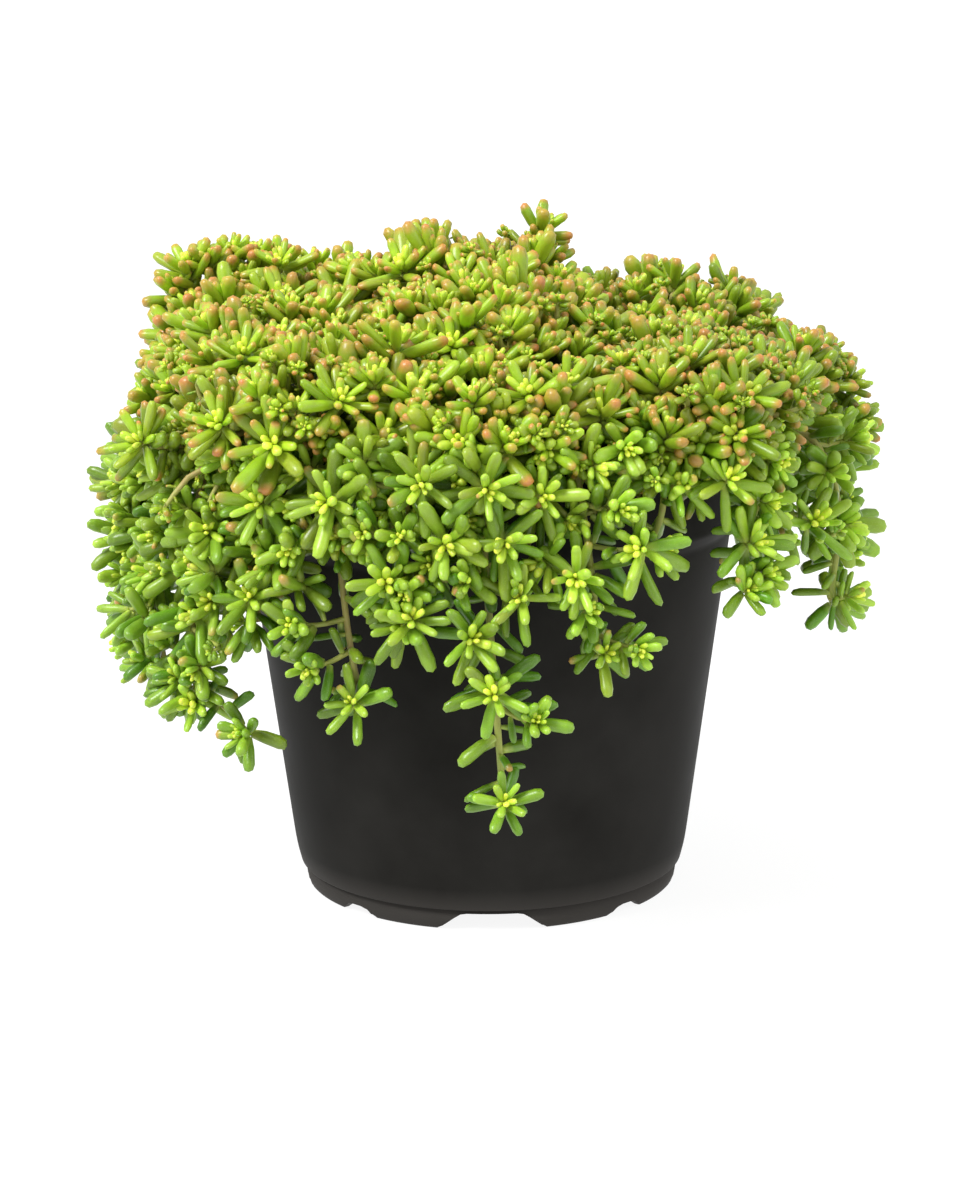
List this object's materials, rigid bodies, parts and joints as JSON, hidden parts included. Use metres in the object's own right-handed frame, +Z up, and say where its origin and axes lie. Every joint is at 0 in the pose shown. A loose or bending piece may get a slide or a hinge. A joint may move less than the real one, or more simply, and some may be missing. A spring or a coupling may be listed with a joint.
{
  "type": "potted sedum",
  "caption": "Low mounding sedum with short plump leaves in rosettes, trailing over the rim of a black nursery pot.",
  "frame": {"origin": "middle of the pot's foot ring, on the plane it rests on", "axes": "+Z up along the pot's axis, +X to the right seen from the front, -Y to the front with the long trailing shoot"},
  "size_m": [0.237, 0.2239, 0.1987],
  "materials": {
    "pot_plastic": "satin moulded black plastic",
    "soil": "dark crumbly potting soil",
    "crown_foliage": "plump waxy leaves, fresh green with coral tips",
    "trail_foliage": "plump waxy leaves, deeper green, on tan stems"
  },
  "bodies": {
    "root": {"pot": "pot_plastic", "soil": "soil", "tuft_centre_back": "crown_foliage", "tuft_centre_front": "crown_foliage", "tuft_left_back": "crown_foliage", "tuft_left": "crown_foliage", "tuft_left_front": "crown_foliage", "tuft_front": "crown_foliage", "tuft_right_front": "crown_foliage", "tuft_right": "crown_foliage", "tuft_right_back": "crown_foliage", "tuft_back": "crown_foliage", "trail_right": "trail_foliage", "trail_right_back_low": "trail_foliage", "trail_right_back": "trail_foliage", "trail_back_right": "trail_foliage", "trail_back": "trail_foliage", "trail_back_left": "trail_foliage", "trail_left_back_high": "trail_foliage", "trail_left_back": "trail_foliage", "trail_left_rear": "trail_foliage", "trail_left": "trail_foliage", "trail_left_fore": "trail_foliage", "trail_left_low": "trail_foliage", "trail_left_front": "trail_foliage", "sprig_left_front": "trail_foliage", "trail_front_left": "trail_foliage", "trail_front": "trail_foliage", "trail_front_right": "trail_foliage", "sprig_front_right": "trail_foliage", "sprig_right_front": "trail_foliage", "trail_right_front": "trail_foliage"}
  },
  "joints": []
}
